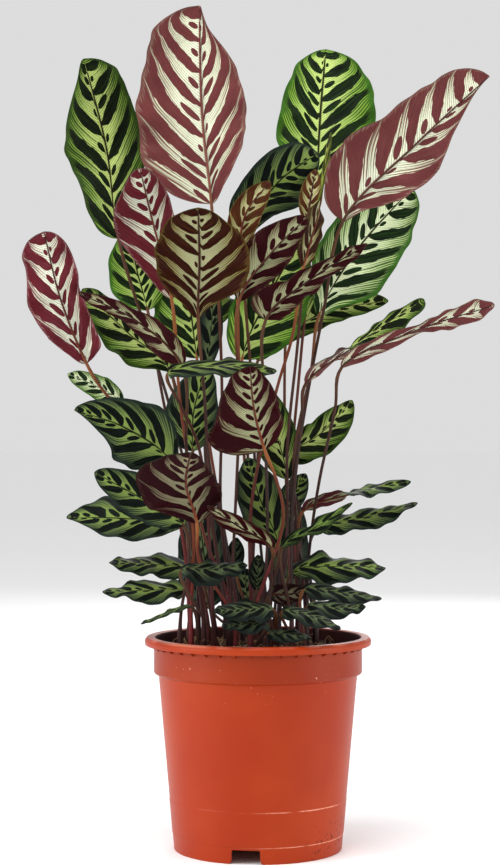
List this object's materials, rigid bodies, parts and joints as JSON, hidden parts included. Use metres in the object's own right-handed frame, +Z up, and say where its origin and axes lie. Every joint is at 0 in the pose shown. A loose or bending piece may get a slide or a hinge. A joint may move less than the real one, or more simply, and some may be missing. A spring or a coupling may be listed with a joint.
{
  "type": "potted peacock plant",
  "caption": "Potted peacock plant with feather-patterned leaves, maroon beneath, on long red stalks in a terracotta-coloured nursery pot.",
  "frame": {"origin": "on the ground under the middle of the pot, at the centre of the whole plant's footprint", "axes": "+Z up through the pot's axis, +X to the right seen from the front, -Y towards the front"},
  "size_m": [0.3456, 0.2544, 0.6372],
  "materials": {
    "pot_plastic": "satin moulded plastic, terracotta",
    "potting_soil": "dark crumbly peat with bark fibres",
    "leaf_tissue": "satin leaf: dark green blotches on lime above, maroon beneath, red stalks"
  },
  "bodies": {
    "root": {"left_leaf_1": "leaf_tissue", "left_leaf_10": "leaf_tissue", "left_leaf_11": "leaf_tissue", "left_leaf_12": "leaf_tissue", "left_leaf_2": "leaf_tissue", "left_leaf_3": "leaf_tissue", "left_leaf_4": "leaf_tissue", "left_leaf_5": "leaf_tissue", "left_leaf_6": "leaf_tissue", "left_leaf_7": "leaf_tissue", "left_leaf_8": "leaf_tissue", "left_leaf_9": "leaf_tissue", "low_leaf_1": "leaf_tissue", "low_leaf_10": "leaf_tissue", "low_leaf_2": "leaf_tissue", "low_leaf_3": "leaf_tissue", "low_leaf_4": "leaf_tissue", "low_leaf_5": "leaf_tissue", "low_leaf_6": "leaf_tissue", "low_leaf_7": "leaf_tissue", "low_leaf_8": "leaf_tissue", "low_leaf_9": "leaf_tissue", "middle_leaf_1": "leaf_tissue", "middle_leaf_2": "leaf_tissue", "middle_leaf_3": "leaf_tissue", "middle_leaf_4": "leaf_tissue", "middle_leaf_5": "leaf_tissue", "middle_leaf_6": "leaf_tissue", "middle_leaf_7": "leaf_tissue", "pot": "pot_plastic", "rear_leaf_1": "leaf_tissue", "rear_leaf_2": "leaf_tissue", "rear_leaf_3": "leaf_tissue", "rear_leaf_4": "leaf_tissue", "rear_leaf_5": "leaf_tissue", "right_leaf_1": "leaf_tissue", "right_leaf_10": "leaf_tissue", "right_leaf_11": "leaf_tissue", "right_leaf_2": "leaf_tissue", "right_leaf_3": "leaf_tissue", "right_leaf_4": "leaf_tissue", "right_leaf_5": "leaf_tissue", "right_leaf_6": "leaf_tissue", "right_leaf_7": "leaf_tissue", "right_leaf_8": "leaf_tissue", "right_leaf_9": "leaf_tissue", "soil": "potting_soil", "top_leaf_1": "leaf_tissue", "top_leaf_10": "leaf_tissue", "top_leaf_11": "leaf_tissue", "top_leaf_12": "leaf_tissue", "top_leaf_13": "leaf_tissue", "top_leaf_2": "leaf_tissue", "top_leaf_3": "leaf_tissue", "top_leaf_4": "leaf_tissue", "top_leaf_5": "leaf_tissue", "top_leaf_6": "leaf_tissue", "top_leaf_7": "leaf_tissue", "top_leaf_8": "leaf_tissue", "top_leaf_9": "leaf_tissue"}
  },
  "joints": []
}
